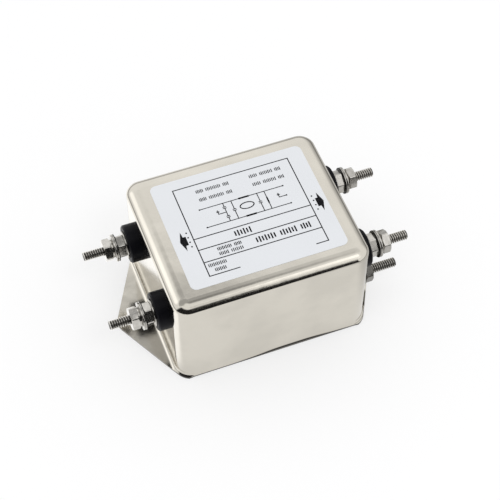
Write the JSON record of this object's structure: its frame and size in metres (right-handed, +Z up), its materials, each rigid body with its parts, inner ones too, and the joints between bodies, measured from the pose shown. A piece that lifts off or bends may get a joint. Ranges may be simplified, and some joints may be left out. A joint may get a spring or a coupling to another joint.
{
  "type": "emi line filter",
  "caption": "Mains interference filter in a drawn steel case with mounting ears, insulated threaded terminals at both ends and an earth stud.",
  "frame": {"origin": "centre of the bottom plane, on the surface that the flange stands on", "axes": "+X along the case towards the line end, which carries the earth stud; +Z up towards the label; -Y is the long side by the earth stud"},
  "size_m": [0.1256, 0.0686, 0.0476],
  "materials": {
    "case_steel": "smooth tin-plated drawn steel, satin to bright",
    "cover_steel": "tin-plated steel, satin",
    "insulating_sheet": "insulating fibre sheet",
    "label": "white printed film label, satin",
    "stud_metal": "nickel-plated brass, threaded",
    "hardware_metal": "nickel-plated, bright",
    "insulator_black": "moulded black thermoset, semi-gloss",
    "copper": "bare copper strip",
    "board_green": "glass-fibre circuit board",
    "ivory_plastic": "moulded nylon",
    "core_coating": "epoxy-coated ferrite",
    "winding_wire": "enamelled copper wire",
    "capacitor_yellow": "moulded box",
    "capacitor_blue": "dipped ceramic disc",
    "resistor_tan": "lacquered body"
  },
  "bodies": {
    "root": {"case": "case_steel", "bottom_cover": "cover_steel", "insulating_sheet": "insulating_sheet", "label": "label", "line_stud_1": "stud_metal", "line_stud_2": "stud_metal", "load_stud_1": "stud_metal", "load_stud_2": "stud_metal", "earth_stud": "stud_metal", "outer_insulators": "insulator_black", "inner_insulators": "insulator_black", "terminal_washers": "hardware_metal", "lock_washers": "hardware_metal", "clamp_nuts": "hardware_metal", "terminal_nuts": "hardware_metal", "inner_washers": "hardware_metal", "inner_nuts": "hardware_metal", "terminal_straps": "copper", "earth_strap": "copper", "board": "board_green", "choke_stand": "ivory_plastic", "choke_core": "core_coating", "winding_1": "winding_wire", "winding_2": "winding_wire", "line_x_capacitor": "capacitor_yellow", "load_x_capacitor": "capacitor_yellow", "y_capacitors": "capacitor_blue", "bleed_resistor": "resistor_tan"}
  },
  "joints": []
}
